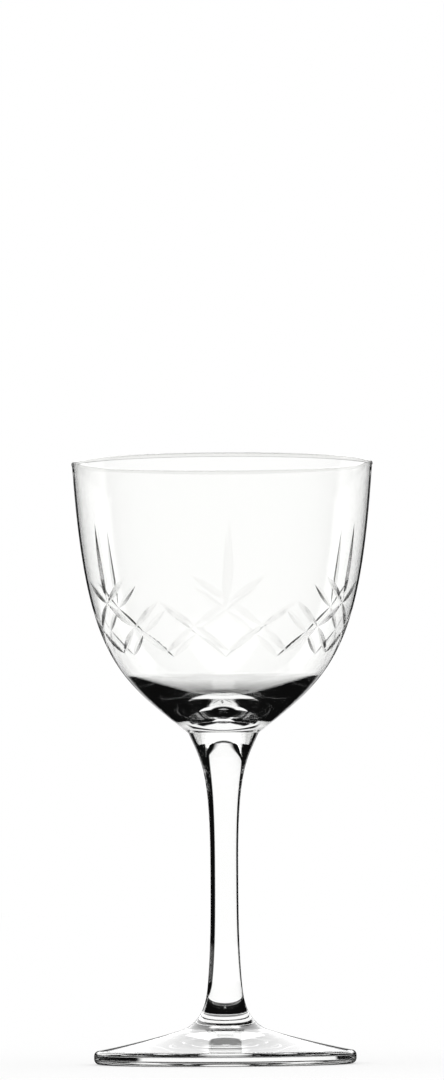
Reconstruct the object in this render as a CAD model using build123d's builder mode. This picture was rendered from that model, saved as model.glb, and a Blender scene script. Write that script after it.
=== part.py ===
from build123d import *
import math
import os

# Nick and nora glass in three pieces of clear glass: foot, stem and bowl, each fused to the next.
# Millimetres, +Z up, origin on the table under the middle of the foot, front of the glass at -Y.

# Foot
FOOT_DIAMETER = 64.8
FOOT_EDGE_THICKNESS = 3.2
FOOT_EDGE_TOP_ROUND = 1.3
FOOT_EDGE_BOTTOM_ROUND = 1.4
FOOT_LAND_WIDTH = 4.5
FOOT_DISH_DEPTH = 1.0
FOOT_TOP_SAG = 0.3
FOOT_JOINT_DIAMETER = 20.4
FOOT_HEIGHT = 8.6

# Stem
STEM_LENGTH = 73.1
STEM_WAIST_DIAMETER = 6.9
STEM_WAIST_HEIGHT = 39.5
STEM_TOP_HANDLE = 8.0
STEM_TOP_LEAN = 24.4
STEM_WAIST_UPPER_HANDLE = 23.9
STEM_WAIST_LOWER_HANDLE = 9.0
STEM_FLARE_DIAMETER = 8.4
STEM_FLARE_HEIGHT = 11.4
STEM_FLARE_LEAN = 5.0
STEM_FLARE_UPPER_HANDLE = 9.0
STEM_FLARE_LOWER_HANDLE = 3.6
STEM_FOOT_LEAN = 66.0
STEM_FOOT_HANDLE = 5.6
STEM_JOINT_DIAMETER = 17.3

# Bowl
BOWL_HEIGHT = 67.3
RIM_DIAMETER = 74.7
RIM_BEAD_DIAMETER = 1.2
WALL = 0.9
BOWL_BASE_LEAN = 51.5
BOWL_BASE_HANDLE = 22.8
BOWL_RIM_LEAN = 3.9
BOWL_RIM_HANDLE = 48.0
BASE_THICKNESS = 4.0
FLOOR_HANDLE = 8.0
HEEL_HEIGHT = 14.3
HEEL_HANDLE = 5.0

# Cut lattice
REPEATS = 6
FIRST_SPEAR_ANGLE = -89.0
LATTICE_BOTTOM = 18.6
ROW_PITCH = 6.1
LATTICE_DEPTH = 0.32
SPEAR_LENGTH = 17.3
SPEAR_DEPTH = 0.36
SPEAR_GAP = 1.0
SPEAR_BLADE = 5.5
CUT_ANGLE = 142.0
CUT_CLEARANCE = 0.5
TIP_GAP = 0.7
TIP_OVERRUN = 1.1

# Places worked out from the sizes above
stem_bottom = FOOT_HEIGHT
stem_top = stem_bottom + STEM_LENGTH
rim_top = stem_top + BOWL_HEIGHT
bead_radius = RIM_BEAD_DIAMETER / 2
bead_height = rim_top - bead_radius
rim_mid_radius = RIM_DIAMETER / 2 - bead_radius
rim_outer_radius = rim_mid_radius + WALL / 2
OFFSET_STEPS = 8


# A point at a distance from another, along a line that leans outward from the upright
def along(point, distance, lean):
    angle = math.radians(lean)
    return (point[0] + distance * math.sin(angle), point[1] + distance * math.cos(angle))


# Foot: a shallow cone with a rounded edge, standing on a flat ring round a slight hollow
foot_radius = FOOT_DIAMETER / 2
land_radius = foot_radius - FOOT_EDGE_BOTTOM_ROUND - FOOT_LAND_WIDTH
with BuildPart() as foot:
    with BuildSketch(Plane.XZ) as foot_section:
        with BuildLine():
            SagittaArc((0, FOOT_DISH_DEPTH), (land_radius, 0), FOOT_DISH_DEPTH / 4)
            Line((land_radius, 0), (foot_radius, 0))
            Line((foot_radius, 0), (foot_radius, FOOT_EDGE_THICKNESS))
            SagittaArc((foot_radius, FOOT_EDGE_THICKNESS), (FOOT_JOINT_DIAMETER / 2, FOOT_HEIGHT), FOOT_TOP_SAG)
            Line((FOOT_JOINT_DIAMETER / 2, FOOT_HEIGHT), (0, FOOT_HEIGHT))
            Line((0, FOOT_HEIGHT), (0, FOOT_DISH_DEPTH))
        make_face()
        bottom_corner, top_corner = foot_section.vertices().sort_by(Axis.X)[-2:].sort_by(Axis.Y)
        fillet(top_corner, FOOT_EDGE_TOP_ROUND)
        fillet(bottom_corner, FOOT_EDGE_BOTTOM_ROUND)
    revolve(axis=Axis.Z)

# Stem: a drawn rod, narrowest below its middle, flaring to the bowl and to the foot
foot_joint = (FOOT_JOINT_DIAMETER / 2, stem_bottom)
flare = (STEM_FLARE_DIAMETER / 2, stem_bottom + STEM_FLARE_HEIGHT)
waist = (STEM_WAIST_DIAMETER / 2, stem_bottom + STEM_WAIST_HEIGHT)
bowl_joint = (STEM_JOINT_DIAMETER / 2, stem_top)
with BuildPart() as stem:
    with BuildSketch(Plane.XZ):
        with BuildLine():
            Line((0, stem_bottom), foot_joint)
            Bezier(
                foot_joint,
                along(foot_joint, STEM_FOOT_HANDLE, -STEM_FOOT_LEAN),
                along(flare, -STEM_FLARE_LOWER_HANDLE, -STEM_FLARE_LEAN),
                flare,
            )
            Bezier(
                flare,
                along(flare, STEM_FLARE_UPPER_HANDLE, -STEM_FLARE_LEAN),
                along(waist, -STEM_WAIST_LOWER_HANDLE, 0),
                waist,
            )
            Bezier(
                waist,
                along(waist, STEM_WAIST_UPPER_HANDLE, 0),
                along(bowl_joint, -STEM_TOP_HANDLE, STEM_TOP_LEAN),
                bowl_joint,
            )
            Line(bowl_joint, (0, stem_top))
            Line((0, stem_top), (0, stem_bottom))
        make_face()
    revolve(axis=Axis.Z)

# Bowl outline: one curve from the stem to the rim
rim_outer = (rim_outer_radius, bead_height)
outline_handles = (
    bowl_joint,
    along(bowl_joint, BOWL_BASE_HANDLE, BOWL_BASE_LEAN),
    along(rim_outer, -BOWL_RIM_HANDLE, BOWL_RIM_LEAN),
    rim_outer,
)


# Point of the outline at a share of its curve, and the outline's lean there
def outline(share):
    weights = [(1 - share) ** 3, 3 * share * (1 - share) ** 2, 3 * share**2 * (1 - share), share**3]
    slopes = [(1 - share) ** 2, 2 * share * (1 - share), share**2]
    point = [sum(w * p[axis] for w, p in zip(weights, outline_handles)) for axis in (0, 1)]
    steps = list(zip(outline_handles[:-1], outline_handles[1:]))
    slope = [sum(w * (b[axis] - a[axis]) for w, (a, b) in zip(slopes, steps)) for axis in (0, 1)]
    return point[0], point[1], math.degrees(math.atan2(slope[0], slope[1]))


# Share of the outline's curve that lies at a height
def share_at(height):
    low, high = 0.0, 1.0
    for _ in range(50):
        middle = (low + high) / 2
        if outline(middle)[1] < height:
            low = middle
        else:
            high = middle
    return (low + high) / 2


# Point of the inner wall, one wall thickness in from the outline
def inner(share):
    radius, height, lean = outline(share)
    return along((radius, height), -WALL, lean + 90)


# Point of the outer face and its outward direction, from an angle round the bowl and a height
def face_point(angle, height):
    radius, level, lean = outline(share_at(height))
    turn = math.radians(angle)
    tilt = math.radians(lean)
    point = Vector(radius * math.cos(turn), radius * math.sin(turn), level)
    normal = Vector(math.cos(tilt) * math.cos(turn), math.cos(tilt) * math.sin(turn), -math.sin(tilt))
    return point, normal


# Run along a direction and rise along the normal from one point to another
def run_and_rise(start, end, forward, normal):
    reach = end - start
    return abs(reach.dot(forward)), reach.dot(normal)


# V cut whose keel is an arc, rising from its deepest point until it leaves the glass at run and rise.
# The arc goes on behind the deepest point where the cut has two like halves.
def arc_cut(keel, normal, forward, depth, run, rise, two_halves):
    across = normal.cross(forward)
    arc_radius = (run**2 + rise**2) / (2 * rise)
    axis = Axis(keel + normal * arc_radius, across * (-1 if rise > 0 else 1))
    turn = math.degrees(2 * math.atan(abs(rise) / run)) * TIP_OVERRUN
    top = depth + CUT_CLEARANCE
    half_width = top * math.tan(math.radians(CUT_ANGLE / 2))
    with BuildPart() as cut:
        with BuildSketch(Plane(origin=keel, x_dir=across, z_dir=forward)):
            Polygon((0, 0), (half_width, top), (-half_width, top), align=None)
        revolve(axis=axis, revolution_arc=turn * 2 if two_halves else turn)
    return cut.part.rotate(axis, -turn) if two_halves else cut.part


# Cut of the lattice between two of its crossings, deepest half way and held back from both by a gap
def lattice_cut(start, end):
    first = face_point(*start)[0]
    last = face_point(*end)[0]
    surface, normal = face_point((start[0] + end[0]) / 2, (start[1] + end[1]) / 2)
    chord = last - first
    inset = chord.normalized() * TIP_GAP
    forward = (chord - normal * chord.dot(normal)).normalized()
    keel = surface - normal * LATTICE_DEPTH
    back = run_and_rise(keel, first + inset, forward, normal)
    ahead = run_and_rise(keel, last - inset, forward, normal)
    run = (back[0] + ahead[0]) / 2
    rise = (back[1] + ahead[1]) / 2
    return arc_cut(keel, normal, forward, LATTICE_DEPTH, run, rise, True)


# Upright cut above a crossing, deepest near its lower end and drawn out to a long point above
def spear_cuts(angle, bottom):
    surface, normal = face_point(angle, bottom + SPEAR_BLADE)
    keel = surface - normal * SPEAR_DEPTH
    up = normal.cross(Vector(-math.sin(math.radians(angle)), math.cos(math.radians(angle)), 0))
    upper = run_and_rise(keel, face_point(angle, bottom + SPEAR_LENGTH)[0], up, normal)
    lower = run_and_rise(keel, face_point(angle, bottom)[0], up, normal)
    return [
        arc_cut(keel, normal, up, SPEAR_DEPTH, *upper, False),
        arc_cut(keel, normal, -up, SPEAR_DEPTH, *lower, False),
    ]


# One repeat of the pattern: a spear with two arms over a lattice of crossed cuts
row = [stem_top + LATTICE_BOTTOM + ROW_PITCH * step for step in range(4)]
repeat_angle = 360 / REPEATS
quarter = repeat_angle / 4
motif = spear_cuts(FIRST_SPEAR_ANGLE, row[2] + SPEAR_GAP)
for side in (-1, 1):
    middle = FIRST_SPEAR_ANGLE + side * quarter
    peak = middle + side * quarter
    motif.append(lattice_cut((FIRST_SPEAR_ANGLE, row[0]), (middle, row[1])))
    motif.append(lattice_cut((peak, row[0]), (middle, row[1])))
    motif.append(lattice_cut((middle, row[1]), (FIRST_SPEAR_ANGLE, row[2])))
    motif.append(lattice_cut((middle, row[1]), (peak, row[2])))
    motif.append(lattice_cut((FIRST_SPEAR_ANGLE, row[2]), (middle, row[3])))

# Bowl: solid base, thin wall and a rolled rim, with the lattice cut into its outer face
floor_height = stem_top + BASE_THICKNESS
heel_share = share_at(stem_top + HEEL_HEIGHT)
heel = inner(heel_share)
heel_lean = outline(heel_share)[2]
inner_shares = [heel_share + (1 - heel_share) * step / OFFSET_STEPS for step in range(OFFSET_STEPS + 1)]
with BuildPart() as bowl:
    with BuildSketch(Plane.XZ):
        with BuildLine():
            Line((0, stem_top), bowl_joint)
            Bezier(*outline_handles)
            Line(rim_outer, inner(1))
            Spline(*[inner(share) for share in reversed(inner_shares)])
            Bezier(heel, along(heel, -HEEL_HANDLE, heel_lean), (FLOOR_HANDLE, floor_height), (0, floor_height))
            Line((0, floor_height), (0, stem_top))
        make_face()
        with Locations((rim_mid_radius, bead_height)):
            Circle(bead_radius)
    revolve(axis=Axis.Z)
    for cutter in motif:
        with PolarLocations(0, REPEATS):
            add(cutter, mode=Mode.SUBTRACT)

os.makedirs("parts", exist_ok=True)
foot.part.label = "foot"
stem.part.label = "stem"
bowl.part.label = "bowl"
export_step(foot.part, "parts/foot.step")
export_step(stem.part, "parts/stem.step")
export_step(bowl.part, "parts/bowl.step")
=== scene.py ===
import bpy
import bmesh
import math
from mathutils import Matrix, Vector


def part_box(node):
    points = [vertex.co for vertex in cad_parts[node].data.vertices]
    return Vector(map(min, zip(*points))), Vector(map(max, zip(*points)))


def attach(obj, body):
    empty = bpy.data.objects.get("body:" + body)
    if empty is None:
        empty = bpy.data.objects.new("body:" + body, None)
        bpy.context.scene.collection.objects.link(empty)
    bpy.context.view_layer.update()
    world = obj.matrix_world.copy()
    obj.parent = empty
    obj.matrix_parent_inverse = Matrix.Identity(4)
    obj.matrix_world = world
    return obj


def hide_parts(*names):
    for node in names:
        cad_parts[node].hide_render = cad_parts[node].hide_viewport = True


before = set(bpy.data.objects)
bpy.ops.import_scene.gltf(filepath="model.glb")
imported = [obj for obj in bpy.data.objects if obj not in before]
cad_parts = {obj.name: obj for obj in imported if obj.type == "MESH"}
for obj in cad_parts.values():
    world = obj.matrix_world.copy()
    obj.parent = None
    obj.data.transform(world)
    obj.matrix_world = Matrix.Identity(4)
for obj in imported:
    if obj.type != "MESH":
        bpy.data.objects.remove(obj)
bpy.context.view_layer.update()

# Millimetres, and in them the corners of the solids' boxes, with heights up from the table
MM = 0.001
foot_high = Vector(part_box("foot")[1]) / MM
stem_low, stem_high = [Vector(corner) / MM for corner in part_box("stem")]
bowl_low, bowl_high = [Vector(corner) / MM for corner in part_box("bowl")]

# Foot
foot_radius = foot_high.x
foot_height = foot_high.z
FOOT_EDGE_THICKNESS = 3.2
FOOT_EDGE_TOP_ROUND = 1.3
FOOT_EDGE_BOTTOM_ROUND = 1.4
FOOT_LAND_WIDTH = 4.5
FOOT_DISH_DEPTH = 1.0
FOOT_TOP_SAG = 0.3
foot_joint = (stem_high.x, stem_low.z)

# Stem, with heights up from its joint with the foot
STEM_JOINT_RADIUS = 8.65
STEM_TOP_HANDLE = 8.0
STEM_TOP_LEAN = 24.4
STEM_WAIST_RADIUS = 3.45
STEM_WAIST_HEIGHT = 39.5
STEM_WAIST_UPPER_HANDLE = 23.9
STEM_WAIST_LOWER_HANDLE = 9.0
STEM_FLARE_RADIUS = 4.2
STEM_FLARE_HEIGHT = 11.4
STEM_FLARE_LEAN = 5.0
STEM_FLARE_UPPER_HANDLE = 9.0
STEM_FLARE_LOWER_HANDLE = 3.6
STEM_FOOT_LEAN = 66.0
STEM_FOOT_HANDLE = 5.6
bowl_joint = (STEM_JOINT_RADIUS, bowl_low.z)

# Bowl, with its heel's height up from its joint with the stem
RIM_BEAD_RADIUS = 0.6
WALL = 0.9
BOWL_BASE_LEAN = 51.5
BOWL_BASE_HANDLE = 22.8
BOWL_RIM_LEAN = 3.9
BOWL_RIM_HANDLE = 48.0
BASE_THICKNESS = 4.0
INNER_FLOOR_HANDLE = 8.0
HEEL_HEIGHT = 14.3
HEEL_HANDLE = 5.0
bead_height = bowl_high.z - RIM_BEAD_RADIUS
rim_mid_radius = bowl_high.x - RIM_BEAD_RADIUS

# Cut lattice, up from the bowl's joint, with its spears at the uneven angles of work done by hand
SPEAR_ANGLES = (-87.2, -25.0, 31.0, 88.5, 146.0, 209.0)
LATTICE_BOTTOM = 19.2
LATTICE_LEVELS = 4
ROW_PITCH = 6.1
LATTICE_DEPTH = 0.32
SPEAR_LENGTH = 18.8
SPEAR_DEPTH = 0.36
SPEAR_GAP = 1.0
SPEAR_BLADE = 5.5
CUT_ANGLE = 142.0
TIP_GAP = 0.25
TIP_OVERRUN = 1.06
CUT_MARGIN = 0.06
CUT_STEPS = 20

# Fineness of the turned meshes
AROUND = 360
CURVE_STEPS = 72
SHORT_STEPS = 24
CAP_STEPS = 4
SHARP_ANGLE = math.radians(28)

# Closeness at which two points are one, and halvings in the search for a height on the bowl's outline
SAME_POINT = 1e-6
HALVINGS = 40

# Gaps that keep the joint faces of neighbouring pieces apart, and the floor below the foot
JOINT_GAP = 0.004
FLOOR_GAP = 0.05

# Glass, with the size and depth of the faint waves in its polished and its cut faces
GLASS_IOR = 1.52
CLEAR_TINT = (0.99, 0.992, 0.985)
# Grey tint of the cut faces: painted shade, which makes the cuts darker than the clear glass
CUT_PAINTED_SHADE_TINT = (0.945, 0.945, 0.935)
# Grey tint of the rim bead: painted shade, which draws the rim as a darker line
RIM_PAINTED_SHADE_TINT = (0.86, 0.86, 0.85)
CUT_ROUGHNESS = 0.22
POLISHED_WAVES = (14.0, 0.001)
CUT_WAVES = (1.5, 0.002)

# Camera, in millimetres and degrees
CAMERA_DISTANCE = 1780.0
CAMERA_HEIGHT = 40.0
CAMERA_SIDE = -0.1
CAMERA_TILT = 2.88
CAMERA_ROLL = -0.33
CAMERA_LENS = 239.7
CAMERA_SENSOR = 36.0
CAMERA_REACH = 100000.0

# Most bounces that a ray is followed for
BOUNCES = 64

# White panels round the glass, in degrees of the horizon: 0 is behind the glass and 90 to its right
BACK_PANEL = (-49.0, 31.0)
FRONT_PANEL = (130.0, 230.0)
PLAIN_PANELS = (BACK_PANEL, FRONT_PANEL, (-104.0, -76.0), (76.0, 104.0))
WIDE_PANEL = (-75.0, 75.0)
CENTRE_PANEL = (-10.0, 10.0)
PANEL_SOFT = 2.0

# Heights of their upper edges and of the light overhead, in degrees above the horizon
BACKDROP_TOP = 33.5
PANEL_TOP = 46.0
LOW_TOP = 14.0
OVERHEAD = (46.0, 52.0)

# Softer panels for what is seen through both walls of the bowl
SOFT_PANELS = ((-20.0, 20.0), (70.0, 110.0), (160.0, 200.0), (250.0, 290.0))
SOFT_EDGE = 11.0

# Panels for rays reflected in the glass, from each count of reflections on,
# and the most reflections that are counted for rays through both walls of the bowl
BOUNCED_PANELS = (
    (1, (WIDE_PANEL,)),
    (2, ((-55.0, 55.0),)),
    (3, (CENTRE_PANEL,)),
    (7, ((-55.0, -33.0), CENTRE_PANEL, (33.0, 55.0))),
)
WALL_REFLECTIONS = 4

# Dark gap along the horizon for rays reflected in the glass: half its height, and its reach to the sides
# for rays reflected once, which draw the bowl's edge, and twice
LEVEL_HALF = 2.5
EDGE_SPAN = (-17.5, 17.5)
LEVEL_SPAN = (-22.0, 22.0)

# Panels mirrored in the outer faces, and the heights between which they grow to their full level
SHEEN_STRIP = (-1.5, 1.5)
SHEEN_SOFT = 0.7
SHEEN_RISE = (6.0, 12.0)
SHEEN_LEVEL = 2.5
SHEEN_LEVEL_RISE = (1.0, 4.0)

# Light lost at each face, made up for by the panels, and the dim room between them
SURFACE_LOSS = 0.05
ROOM = 0.004

# Floor, in metres from the glass: a pair is a soft edge, with 0 at the first distance and 1 at the second
FLOOR_RADIUS = 20.0
FLOOR_SIDES = 96
FLOOR_GLOW = 0.5
FLOOR_NEAR = (1.0, 0.9)
UNDER_GLASS = (0.05, 0.04)
# Painted shadow under the foot: for rays reflected in the glass the floor is dark up to these distances
FOOT_SHADOW_EDGE = (0.0342, 0.038)
FRONT_REACH = (0.22, 0.15)
FOOT_REACH = (0.25, 0.2)
GAP_REACH = (0.12, 0.108)
EDGE_FLOOR = (0.45, 0.55)
SHEEN_FLOOR = (0.3, 0.6)
SHEEN_END = (1.0, 0.8)

# Panel and gaps on the floor by the foot, in degrees as above, and the start of all sectors on the floor,
# in metres in front of the axis
FOOT_PANEL = (-61.0, 61.0)
FOOT_GAPS = ((-32.0, -11.0), (11.0, 32.0))
WEDGE_START = 0.03

# Shadow on the floor for what is seen through both walls of the bowl
SHADOW_NEAR = 0.26
SHADOW_FAR = 0.8
SHADOW_LEVEL = 0.85

# Material slots of every glass piece
GLASS, FUSED, CUT, RIM = 0, 1, 2, 3


# A point at a distance from another, along a line that leans outward from the upright
def along(point, distance, lean):
    angle = math.radians(lean)
    return (point[0] + distance * math.sin(angle), point[1] + distance * math.cos(angle))


# Points along a curve of any degree, from its control points
def curve(handles, steps):
    points = []
    for step in range(steps + 1):
        share = step / steps
        level = [Vector(handle) for handle in handles]
        while len(level) > 1:
            level = [a.lerp(b, share) for a, b in zip(level[:-1], level[1:])]
        points.append(tuple(level[0]))
    return points


# Points along a round arc, from its centre, radius and two angles
def arc(centre, radius, first, last, steps):
    points = []
    for step in range(steps + 1):
        angle = math.radians(first + (last - first) * step / steps)
        points.append((centre[0] + radius * math.cos(angle), centre[1] + radius * math.sin(angle)))
    return points


# Points from one place to another in a straight line
def straight(start, end, steps):
    return curve((start, end), steps)


# Bowl outline: one curve from the stem to the rim
rim_outer = (rim_mid_radius + WALL / 2, bead_height)
outline_handles = (
    bowl_joint,
    along(bowl_joint, BOWL_BASE_HANDLE, BOWL_BASE_LEAN),
    along(rim_outer, -BOWL_RIM_HANDLE, BOWL_RIM_LEAN),
    rim_outer,
)


# Point of the outline at a share of its curve, and the outline's lean there
def outline(share):
    weights = [(1 - share) ** 3, 3 * share * (1 - share) ** 2, 3 * share**2 * (1 - share), share**3]
    slopes = [(1 - share) ** 2, 2 * share * (1 - share), share**2]
    point = [sum(w * p[axis] for w, p in zip(weights, outline_handles)) for axis in (0, 1)]
    steps = list(zip(outline_handles[:-1], outline_handles[1:]))
    slope = [sum(w * (b[axis] - a[axis]) for w, (a, b) in zip(slopes, steps)) for axis in (0, 1)]
    return point[0], point[1], math.degrees(math.atan2(slope[0], slope[1]))


# Share of the outline's curve that lies at a height
def share_at(height):
    low, high = 0.0, 1.0
    for _ in range(HALVINGS):
        middle = (low + high) / 2
        if outline(middle)[1] < height:
            low = middle
        else:
            high = middle
    return (low + high) / 2


# Point of the inner wall, one wall thickness in from the outline
def inner(share):
    radius, height, lean = outline(share)
    return along((radius, height), -WALL, lean + 90)


# Point of the outer face and its outward direction, from an angle round the bowl and a height
def face_point(angle, height):
    radius, level, lean = outline(share_at(height))
    turn = math.radians(angle)
    tilt = math.radians(lean)
    point = Vector((radius * math.cos(turn), radius * math.sin(turn), level))
    normal = Vector((math.cos(tilt) * math.cos(turn), math.cos(tilt) * math.sin(turn), -math.sin(tilt)))
    return point, normal


# Closed turned mesh from a section that starts and ends on the axis, anticlockwise in radius and height.
# Each stretch of the section is a list of points and the material slot of its faces.
def turned(name, stretches):
    rings = []
    slots = []
    for points, slot in stretches:
        for point in points:
            if rings and (Vector(rings[-1]) - Vector(point)).length < SAME_POINT:
                continue
            if rings:
                slots.append(slot)
            rings.append(point)
    shape = bmesh.new()
    rows = []
    for radius, height in rings:
        count = AROUND if radius > SAME_POINT else 1
        row = []
        for step in range(count):
            angle = 2 * math.pi * step / AROUND
            place = (radius * math.cos(angle) * MM, radius * math.sin(angle) * MM, height * MM)
            row.append(shape.verts.new(place))
        rows.append(row)
    for row, following, slot in zip(rows[:-1], rows[1:], slots):
        for step in range(AROUND):
            after = (step + 1) % AROUND
            if len(row) == 1:
                corners = [row[0], following[after], following[step]]
            elif len(following) == 1:
                corners = [row[step], row[after], following[0]]
            else:
                corners = [row[step], row[after], following[after], following[step]]
            face = shape.faces.new(corners)
            face.material_index = slot
    return made(name, shape, glass_slots)


# Object from a finished bmesh
def made(name, shape, materials):
    mesh = bpy.data.meshes.new(name)
    for material in materials:
        mesh.materials.append(material)
    shape.to_mesh(mesh)
    shape.free()
    piece = bpy.data.objects.new(name, mesh)
    bpy.context.scene.collection.objects.link(piece)
    return piece


# Smooth faces, with hard edges at sharp corners and where the material changes
def shade(piece):
    shape = bmesh.new()
    shape.from_mesh(piece.data)
    for face in shape.faces:
        face.smooth = True
    for edge in shape.edges:
        slots = {face.material_index for face in edge.link_faces}
        edge.smooth = len(slots) == 1 and edge.calc_face_angle(0) < SHARP_ANGLE
    shape.to_mesh(piece.data)
    shape.free()


# Run along a direction and rise along the normal from one point to another
def run_and_rise(start, end, forward, normal):
    reach = end - start
    return abs(reach.dot(forward)), reach.dot(normal)


# Sections of a V cut along an arc that rises from its deepest point and leaves the glass at run and rise
def cut_sections(keel, normal, forward, depth, run, rise, first, last):
    across = normal.cross(forward)
    arc_radius = (run**2 + rise**2) / (2 * rise)
    centre = keel + normal * arc_radius
    axis = across * (-1 if rise > 0 else 1)
    turn = 2 * math.atan(abs(rise) / run) * TIP_OVERRUN
    spread = math.tan(math.radians(CUT_ANGLE / 2))
    sections = []
    for step in range(first, last + 1):
        share = step / CUT_STEPS
        left = max(depth * (1 - (share * TIP_OVERRUN) ** 2), 0) + CUT_MARGIN
        corners = [Vector(), across * left * spread + normal * left, normal * left - across * left * spread]
        spin = Matrix.Rotation(turn * share, 3, axis)
        sections.append([centre + spin @ (keel + corner - centre) for corner in corners])
    return sections


# Adds one cutter, a closed chain of three-cornered sections, to a shape
def add_cutter(shape, sections):
    rows = [[shape.verts.new(corner * MM) for corner in section] for section in sections]
    faces = [shape.faces.new(rows[0]), shape.faces.new(reversed(rows[-1]))]
    for row, following in zip(rows[:-1], rows[1:]):
        for step in range(len(row)):
            after = (step + 1) % len(row)
            faces.append(shape.faces.new((row[after], row[step], following[step], following[after])))
    for face in faces:
        face.material_index = CUT


# Cut of the lattice between two of its crossings, deepest half way and held back from both by a gap
def lattice_cut(start, end):
    first = face_point(*start)[0]
    last = face_point(*end)[0]
    surface, normal = face_point((start[0] + end[0]) / 2, (start[1] + end[1]) / 2)
    chord = last - first
    inset = chord.normalized() * TIP_GAP
    forward = (chord - normal * chord.dot(normal)).normalized()
    keel = surface - normal * LATTICE_DEPTH
    back = run_and_rise(keel, first + inset, forward, normal)
    ahead = run_and_rise(keel, last - inset, forward, normal)
    run = (back[0] + ahead[0]) / 2
    rise = (back[1] + ahead[1]) / 2
    return cut_sections(keel, normal, forward, LATTICE_DEPTH, run, rise, -CUT_STEPS, CUT_STEPS)


# Upright cut above a crossing, deepest near its lower end and drawn out to a long point above
def spear_cut(angle, bottom):
    surface, normal = face_point(angle, bottom + SPEAR_BLADE)
    keel = surface - normal * SPEAR_DEPTH
    up = normal.cross(Vector((-math.sin(math.radians(angle)), math.cos(math.radians(angle)), 0)))
    upper = run_and_rise(keel, face_point(angle, bottom + SPEAR_LENGTH)[0], up, normal)
    lower = run_and_rise(keel, face_point(angle, bottom)[0], up, normal)
    below = cut_sections(keel, normal, -up, SPEAR_DEPTH, *lower, 1, CUT_STEPS)
    above = cut_sections(keel, normal, up, SPEAR_DEPTH, *upper, 0, CUT_STEPS)
    mirrored = [[section[0], section[2], section[1]] for section in reversed(below)]
    return mirrored + above


# Cutters of some cuts of the pattern, as one object
def cutters(cuts):
    shape = bmesh.new()
    for sections in cuts:
        add_cutter(shape, sections)
    bmesh.ops.recalc_face_normals(shape, faces=shape.faces)
    return made("cutters", shape, glass_slots)


# The pattern in four lots of cutters, by the way they lean and their row, so that no two of a lot touch
def pattern():
    level = [bowl_low.z + LATTICE_BOTTOM + ROW_PITCH * step for step in range(LATTICE_LEVELS)]
    outer_rows = {-1: [], 1: []}
    middle_row = {-1: [], 1: []}
    for place, spear in enumerate(SPEAR_ANGLES):
        middle_row[1].append(spear_cut(spear, level[2] + SPEAR_GAP))
        for side in (-1, 1):
            neighbour = SPEAR_ANGLES[(place + side) % len(SPEAR_ANGLES)]
            apart = (side * (neighbour - spear)) % 360
            middle = spear + side * apart / 4
            peak = spear + side * apart / 2
            outer_rows[side].append(lattice_cut((spear, level[0]), (middle, level[1])))
            outer_rows[side].append(lattice_cut((spear, level[2]), (middle, level[3])))
            outer_rows[-side].append(lattice_cut((peak, level[0]), (middle, level[1])))
            middle_row[side].append(lattice_cut((middle, level[1]), (peak, level[2])))
            middle_row[-side].append(lattice_cut((middle, level[1]), (spear, level[2])))
    return [cutters(cuts) for rows in (outer_rows, middle_row) for cuts in rows.values()]


# Takes a lot of cutters out of a piece
def carve(piece, lot):
    modifier = piece.modifiers.new("cuts", "BOOLEAN")
    modifier.object = lot
    modifier.operation = "DIFFERENCE"
    modifier.solver = "EXACT"
    depsgraph = bpy.context.evaluated_depsgraph_get()
    carved = bpy.data.meshes.new_from_object(piece.evaluated_get(depsgraph))
    piece.modifiers.clear()
    piece.data = carved
    bpy.data.objects.remove(lot)


# Glass, with the faint waves of a hot-worked surface
def glass_material(name, tint, roughness, waves):
    wave_size, wave_depth = waves
    material = bpy.data.materials.new(name)
    material.use_nodes = True
    nodes = material.node_tree.nodes
    links = material.node_tree.links
    shader = nodes["Principled BSDF"]
    shader.inputs["Base Color"].default_value = (*tint, 1)
    shader.inputs["Roughness"].default_value = roughness
    shader.inputs["IOR"].default_value = GLASS_IOR
    shader.inputs["Transmission Weight"].default_value = 1
    place = nodes.new("ShaderNodeTexCoord")
    noise = nodes.new("ShaderNodeTexNoise")
    noise.inputs["Scale"].default_value = 1 / (wave_size * MM)
    noise.inputs["Detail"].default_value = 1
    bump = nodes.new("ShaderNodeBump")
    bump.inputs["Strength"].default_value = 1
    bump.inputs["Distance"].default_value = wave_depth * MM
    links.new(place.outputs["Object"], noise.inputs["Vector"])
    links.new(noise.outputs["Fac"], bump.inputs["Height"])
    links.new(bump.outputs["Normal"], shader.inputs["Normal"])
    return material


# Joint faces inside the fused glass, which light passes as if they weren't there
def fused_material():
    material = bpy.data.materials.new("fused_joint")
    material.use_nodes = True
    shader = material.node_tree.nodes["Principled BSDF"]
    shader.inputs["Base Color"].default_value = (1, 1, 1, 1)
    shader.inputs["Alpha"].default_value = 0
    return material


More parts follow.
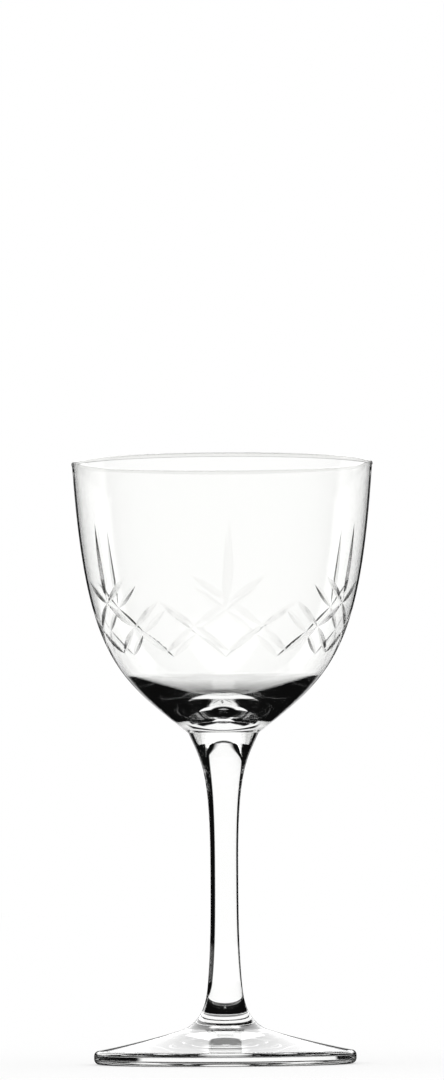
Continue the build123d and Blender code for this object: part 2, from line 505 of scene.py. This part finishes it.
# Foot: hollow underside, standing ring, rounded edge, low conical top
def foot_piece():
    land_radius = foot_radius - FOOT_EDGE_BOTTOM_ROUND - FOOT_LAND_WIDTH
    dish = curve(((0, FOOT_DISH_DEPTH), (land_radius / 2, FOOT_DISH_DEPTH), (land_radius, 0)), SHORT_STEPS)
    land_edge = foot_radius - FOOT_EDGE_BOTTOM_ROUND
    land = straight((land_radius, 0), (land_edge, 0), CAP_STEPS)
    lower_round = arc((land_edge, FOOT_EDGE_BOTTOM_ROUND), FOOT_EDGE_BOTTOM_ROUND, -90, 0, SHORT_STEPS)
    edge = Vector((foot_radius, FOOT_EDGE_THICKNESS))
    chord = Vector(foot_joint) - edge
    sag = Vector((-chord.y, chord.x)).normalized() * FOOT_TOP_SAG * 2
    top_handles = (tuple(edge), tuple(edge + chord / 2 + sag), foot_joint)
    slope = math.atan2(top_handles[1][1] - edge.y, edge.x - top_handles[1][0])
    round_height = FOOT_EDGE_THICKNESS + FOOT_EDGE_TOP_ROUND * (math.tan(slope) - 1 / math.cos(slope))
    round_centre = (foot_radius - FOOT_EDGE_TOP_ROUND, round_height)
    upper_round = arc(round_centre, FOOT_EDGE_TOP_ROUND, 0, 90 - math.degrees(slope), SHORT_STEPS)
    top = [point for point in curve(top_handles, CURVE_STEPS) if point[0] < upper_round[-1][0]]
    top.append((foot_joint[0], foot_height - JOINT_GAP))
    cap = straight(top[-1], (0, foot_height - JOINT_GAP), CAP_STEPS)
    section = dish + land + lower_round + upper_round + top
    return turned("glass_foot", [(section, GLASS), (cap, FUSED)])


# Stem: drawn rod, flaring to the foot and to the bowl
def stem_piece():
    bottom = foot_joint[1]
    flare = (STEM_FLARE_RADIUS, bottom + STEM_FLARE_HEIGHT)
    waist = (STEM_WAIST_RADIUS, bottom + STEM_WAIST_HEIGHT)
    lower = (
        foot_joint,
        along(foot_joint, STEM_FOOT_HANDLE, -STEM_FOOT_LEAN),
        along(flare, -STEM_FLARE_LOWER_HANDLE, -STEM_FLARE_LEAN),
        flare,
    )
    middle = (
        flare,
        along(flare, STEM_FLARE_UPPER_HANDLE, -STEM_FLARE_LEAN),
        along(waist, -STEM_WAIST_LOWER_HANDLE, 0),
        waist,
    )
    upper = (
        waist,
        along(waist, STEM_WAIST_UPPER_HANDLE, 0),
        along(bowl_joint, -STEM_TOP_HANDLE, STEM_TOP_LEAN),
        bowl_joint,
    )
    rod = curve(lower, CURVE_STEPS) + curve(middle, CURVE_STEPS) + curve(upper, CURVE_STEPS)[:-1]
    rod.append((bowl_joint[0], bowl_joint[1] - JOINT_GAP))
    foot_cap = straight((0, bottom), foot_joint, CAP_STEPS)
    bowl_cap = straight(rod[-1], (0, rod[-1][1]), CAP_STEPS)
    return turned("glass_stem", [(foot_cap, FUSED), (rod, GLASS), (bowl_cap, FUSED)])


# Bowl: solid base, thin wall and rolled rim, with the lattice cut into its outer face
def bowl_piece():
    cap = straight((0, bowl_joint[1]), bowl_joint, CAP_STEPS)
    outer = [outline(step / CURVE_STEPS)[:2] for step in range(CURVE_STEPS + 1)]
    bead_centre = Vector((rim_mid_radius, bead_height))
    meet = math.degrees(math.acos(WALL / 2 / RIM_BEAD_RADIUS))
    bead = arc(bead_centre, RIM_BEAD_RADIUS, -meet, 180 + meet, 2 * SHORT_STEPS)
    outer = [point for point in outer if point[1] < bead[0][1]]
    heel_share = share_at(bowl_joint[1] + HEEL_HEIGHT)
    heel = inner(heel_share)
    heel_lean = outline(heel_share)[2]
    steps = range(CURVE_STEPS, -1, -1)
    wall = [inner(heel_share + (1 - heel_share) * step / CURVE_STEPS) for step in steps]
    wall = [point for point in wall if point[1] < bead[-1][1]]
    floor_height = bowl_joint[1] + BASE_THICKNESS
    heel_handle = along(heel, -HEEL_HANDLE, heel_lean)
    bottom = (heel, heel_handle, (INNER_FLOOR_HANDLE, floor_height), (0, floor_height))
    outside = outer + bead[:1]
    inside = bead[-1:] + wall + curve(bottom, CURVE_STEPS)
    piece = turned("glass_bowl", [(cap, FUSED), (outside, GLASS), (bead, RIM), (inside, GLASS)])
    for lot in pattern():
        carve(piece, lot)
    return piece


# The three pieces of glass stand for the three solids
glass_slots = [
    glass_material("clear_glass", CLEAR_TINT, 0, POLISHED_WAVES),
    fused_material(),
    # Cut faces: rough, with the grey tint of painted shade
    glass_material("cut_glass_painted_shade", CUT_PAINTED_SHADE_TINT, CUT_ROUGHNESS, CUT_WAVES),
    # Rim bead: clear, with the grey tint of painted shade
    glass_material("rim_glass_painted_shade", RIM_PAINTED_SHADE_TINT, 0, POLISHED_WAVES),
]
for node, piece in (("foot", foot_piece()), ("stem", stem_piece()), ("bowl", bowl_piece())):
    shade(piece)
    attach(piece, "root")
    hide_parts(node)


# Node helpers for the floor and the surroundings
class Graph:
    def __init__(self, tree):
        self.nodes = tree.nodes
        self.links = tree.links

    def put(self, socket, value):
        if isinstance(value, (int, float)):
            socket.default_value = value
        else:
            self.links.new(value, socket)

    def math(self, operation, *values):
        node = self.nodes.new("ShaderNodeMath")
        node.operation = operation
        for socket, value in zip(node.inputs, values):
            self.put(socket, value)
        return node.outputs[0]

    def product(self, *values):
        result = values[0]
        for value in values[1:]:
            result = self.math("MULTIPLY", result, value)
        return result

    def most(self, *values):
        result = values[0]
        for value in values[1:]:
            result = self.math("MAXIMUM", result, value)
        return result

    def less(self, value):
        return self.math("SUBTRACT", 1, value)

    # 1 where a whole number has reached a count and 0 below it, with the limit half way between
    def reached(self, value, count):
        return self.math("GREATER_THAN", value, count - 0.5)

    def mix(self, share, first, second):
        node = self.nodes.new("ShaderNodeMix")
        self.put(node.inputs[0], share)
        self.put(node.inputs[2], first)
        self.put(node.inputs[3], second)
        return node.outputs[0]

    def split(self, vector):
        node = self.nodes.new("ShaderNodeSeparateXYZ")
        self.links.new(vector, node.inputs[0])
        return node.outputs["X"], node.outputs["Y"], node.outputs["Z"]

    def length(self, x, y):
        return self.math("SQRT", self.math("MULTIPLY_ADD", x, x, self.product(y, y)))

    # 0 at the first edge and 1 at the second, with a soft step between
    def step(self, value, zero, one):
        node = self.nodes.new("ShaderNodeMapRange")
        node.interpolation_type = "SMOOTHSTEP"
        self.put(node.inputs["Value"], value)
        node.inputs["From Min"].default_value = min(zero, one)
        node.inputs["From Max"].default_value = max(zero, one)
        node.inputs["To Min"].default_value = 0 if zero < one else 1
        node.inputs["To Max"].default_value = 1 if zero < one else 0
        return node.outputs[0]

    # The same for a height, as the sine of an angle above the horizon
    def rise(self, z, zero, one):
        return self.step(z, math.sin(math.radians(zero)), math.sin(math.radians(one)))

    # 1 within some sectors of the horizon and 0 outside them, with soft edges
    def sectors(self, x, y, edges, soft):
        reach = self.length(x, y)
        inside = []
        for first, last in edges:
            middle = math.radians((first + last) / 2)
            half = (last - first) / 2
            towards = self.math("MULTIPLY_ADD", x, math.sin(middle), self.product(y, math.cos(middle)))
            outer = math.cos(math.radians(half + soft))
            inner_edge = math.cos(math.radians(max(half - soft, 0)))
            inside.append(self.step(self.math("DIVIDE", towards, reach), outer, inner_edge))
        return self.most(*inside)


# What a ray has been through: who sees it, and how often it was bent and reflected in the glass
class Ray:
    def __init__(self, graph):
        path = graph.nodes.new("ShaderNodeLightPath")
        bends = path.outputs["Transmission Depth"]
        reflections = path.outputs["Glossy Depth"]
        self.seen_by_camera = path.outputs["Is Camera Ray"]
        self.seen_by_glass = path.outputs["Is Glossy Ray"]
        self.refracted = path.outputs["Is Transmission Ray"]
        self.bounced = graph.reached(reflections, 1)
        self.twice = graph.reached(reflections, 2)
        self.thrice = graph.reached(reflections, 3)
        self.four_times = graph.reached(reflections, 4)
        self.through_walls = graph.reached(bends, 3)
        few = graph.math("MINIMUM", reflections, WALL_REFLECTIONS)
        self.count = graph.mix(self.through_walls, reflections, few)
        self.gain = graph.math("MULTIPLY_ADD", bends, SURFACE_LOSS, 1)


# White panels that a ray sees after it was reflected in the glass
def bounced_panels(graph, ray, x, y):
    white = 0
    for count, edges in BOUNCED_PANELS:
        panels = graph.sectors(x, y, edges, PANEL_SOFT)
        white = graph.mix(graph.reached(ray.count, count), white, panels)
    return white


# Brightness for a ray: white for the camera and for soft light, and for the glass by what the ray met in it
def brightness(graph, ray, mirrored, straight_on, bounced):
    through = graph.mix(ray.bounced, straight_on, bounced)
    seen = graph.product(graph.mix(ray.refracted, mirrored, through), ray.gain)
    return graph.mix(ray.seen_by_glass, 1, graph.most(seen, ROOM))


# Surroundings for rays mirrored in an outer face
def mirrored_light(graph, x, y, z):
    high = graph.product(graph.sectors(x, y, (BACK_PANEL,), PANEL_SOFT), graph.rise(z, *SHEEN_RISE))
    strip = graph.sectors(x, y, (SHEEN_STRIP,), SHEEN_SOFT)
    level = graph.mix(graph.rise(z, *SHEEN_LEVEL_RISE), 1, SHEEN_LEVEL)
    return graph.product(graph.most(high, strip), level)


# Surroundings for rays that went through the glass without a reflection
def straight_light(graph, ray, x, y, z):
    plain = graph.sectors(x, y, PLAIN_PANELS, PANEL_SOFT)
    backdrop = graph.rise(z, BACKDROP_TOP + PANEL_SOFT, BACKDROP_TOP)
    soft = graph.sectors(x, y, SOFT_PANELS, SOFT_EDGE)
    return graph.mix(ray.through_walls, graph.product(plain, backdrop), soft)


# The dark gap along the horizon, as 0 within it, for rays reflected once, twice and more often
def level_gap(graph, ray, x, y, z):
    off_level = graph.rise(graph.math("ABSOLUTE", z), LEVEL_HALF, LEVEL_HALF + PANEL_SOFT)
    on_level = graph.less(off_level)
    edge = graph.product(graph.sectors(x, y, (EDGE_SPAN,), PANEL_SOFT), on_level)
    once = graph.most(graph.less(edge), ray.through_walls)
    twice = graph.less(graph.product(graph.sectors(x, y, (LEVEL_SPAN,), PANEL_SOFT), on_level))
    return graph.mix(ray.thrice, graph.mix(ray.twice, once, twice), off_level)


# Surroundings for rays that were reflected in the glass
def bounced_light(graph, ray, x, y, z):
    panels = bounced_panels(graph, ray, x, y)
    ceiling = graph.rise(z, PANEL_TOP, PANEL_TOP - 2 * PANEL_SOFT)
    centre = graph.sectors(x, y, (CENTRE_PANEL,), PANEL_SOFT)
    low = graph.most(centre, graph.rise(z, LOW_TOP + PANEL_SOFT, LOW_TOP))
    lowered = graph.mix(ray.thrice, 1, low)
    around = graph.product(panels, ceiling, lowered, level_gap(graph, ray, x, y, z))
    above = graph.product(graph.rise(z, *OVERHEAD), graph.sectors(x, y, (WIDE_PANEL,), PANEL_SOFT))
    overhead = graph.product(above, ray.thrice, graph.less(ray.four_times))
    return graph.most(around, overhead)


# Surroundings: white, but the glass sees white panels with dark gaps between
def surroundings():
    world = bpy.data.worlds.new("studio")
    bpy.context.scene.world = world
    world.use_nodes = True
    graph = Graph(world.node_tree)
    background = graph.nodes["Background"]
    background.inputs["Color"].default_value = (1, 1, 1, 1)
    place = graph.nodes.new("ShaderNodeTexCoord")
    direction = graph.split(place.outputs["Generated"])
    ray = Ray(graph)
    mirrored = mirrored_light(graph, *direction)
    straight_on = straight_light(graph, ray, *direction)
    bounced = bounced_light(graph, ray, *direction)
    graph.put(background.inputs["Strength"], brightness(graph, ray, mirrored, straight_on, bounced))


# Floor for rays mirrored in an outer face
def mirrored_floor(graph, x, y, distance):
    back = graph.sectors(x, y, (BACK_PANEL,), PANEL_SOFT)
    return graph.product(back, graph.step(distance, *SHEEN_FLOOR), graph.step(distance, *SHEEN_END))


# Floor for rays that went through the glass without a reflection
def straight_floor(graph, ray, x, y, distance):
    near = graph.product(ray.through_walls, graph.step(distance, *FLOOR_NEAR))
    under = graph.step(distance, *UNDER_GLASS)
    plain = graph.most(graph.sectors(x, y, PLAIN_PANELS, PANEL_SOFT), near, under)
    shadow = graph.product(graph.step(distance, 0, SHADOW_NEAR), SHADOW_LEVEL)
    fading = graph.step(distance, SHADOW_NEAR, SHADOW_FAR)
    shadow = graph.math("MULTIPLY_ADD", fading, 1 - SHADOW_LEVEL, shadow)
    return graph.product(plain, graph.mix(ray.through_walls, 1, shadow))


# Floor for rays that were reflected in the glass, dark under the foot as painted shadow
def bounced_floor(graph, ray, x, y, distance):
    front = graph.product(graph.sectors(x, y, (FRONT_PANEL,), PANEL_SOFT), graph.less(ray.thrice))
    front = graph.product(front, graph.step(distance, *FRONT_REACH))
    by_foot = graph.product(graph.step(distance, *FOOT_REACH), ray.thrice)
    by_foot = graph.product(graph.sectors(x, y, (FOOT_PANEL,), PANEL_SOFT), by_foot)
    lit = graph.most(bounced_panels(graph, ray, x, y), front, by_foot)
    # Painted shadow: the floor under the foot and just round it is dark for these rays
    clear = graph.step(distance, *FOOT_SHADOW_EDGE)
    foot_gaps = graph.product(graph.sectors(x, y, FOOT_GAPS, PANEL_SOFT), graph.step(distance, *GAP_REACH))
    foot_gaps = graph.product(foot_gaps, graph.less(ray.thrice))
    once = graph.product(graph.less(ray.twice), graph.less(ray.through_walls))
    edge = graph.sectors(x, y, (EDGE_SPAN,), PANEL_SOFT)
    edge = graph.product(edge, graph.step(distance, *EDGE_FLOOR), once)
    return graph.product(lit, clear, graph.less(foot_gaps), graph.less(edge))


# White of the floor, which glows for the glass as the panels do, and by a share for the camera
def floor_material():
    material = bpy.data.materials.new("white_floor")
    material.use_nodes = True
    graph = Graph(material.node_tree)
    shader = graph.nodes["Principled BSDF"]
    shader.inputs["Base Color"].default_value = (1, 1, 1, 1)
    shader.inputs["Roughness"].default_value = 1
    shader.inputs["Specular IOR Level"].default_value = 0
    position = graph.nodes.new("ShaderNodeNewGeometry")
    x, y = graph.split(position.outputs["Position"])[:2]
    place = (x, graph.math("ADD", y, WEDGE_START), graph.length(x, y))
    ray = Ray(graph)
    mirrored = mirrored_floor(graph, *place)
    straight_on = straight_floor(graph, ray, *place)
    bounced = bounced_floor(graph, ray, *place)
    glow = graph.nodes.new("ShaderNodeEmission")
    graph.put(glow.inputs["Strength"], brightness(graph, ray, mirrored, straight_on, bounced))
    blend = graph.nodes.new("ShaderNodeMixShader")
    graph.put(blend.inputs[0], graph.most(graph.product(ray.seen_by_camera, FLOOR_GLOW), ray.seen_by_glass))
    graph.links.new(shader.outputs[0], blend.inputs[1])
    graph.links.new(glow.outputs[0], blend.inputs[2])
    graph.links.new(blend.outputs[0], graph.nodes["Material Output"].inputs["Surface"])
    return material


# Floor: a wide white disc
def floor():
    shape = bmesh.new()
    bmesh.ops.create_circle(shape, cap_ends=True, segments=FLOOR_SIDES, radius=FLOOR_RADIUS)
    piece = made("floor", shape, [floor_material()])
    piece.location.z = -FLOOR_GAP * MM


# Camera: low and far, looking up a little, as in the photo
def camera():
    data = bpy.data.cameras.new("camera")
    data.lens = CAMERA_LENS
    data.sensor_width = CAMERA_SENSOR
    data.clip_end = CAMERA_REACH * MM
    viewer = bpy.data.objects.new("camera", data)
    bpy.context.scene.collection.objects.link(viewer)
    place = Matrix.Translation((CAMERA_SIDE * MM, -CAMERA_DISTANCE * MM, CAMERA_HEIGHT * MM))
    tilt = Matrix.Rotation(math.radians(90 + CAMERA_TILT), 4, "X")
    roll = Matrix.Rotation(math.radians(CAMERA_ROLL), 4, "Z")
    viewer.matrix_world = place @ tilt @ roll
    bpy.context.scene.camera = viewer


surroundings()
floor()
camera()

scene = bpy.context.scene
scene.view_settings.view_transform = "Standard"
scene.cycles.max_bounces = BOUNCES
scene.cycles.transmission_bounces = BOUNCES
scene.cycles.glossy_bounces = BOUNCES
scene.cycles.transparent_max_bounces = BOUNCES
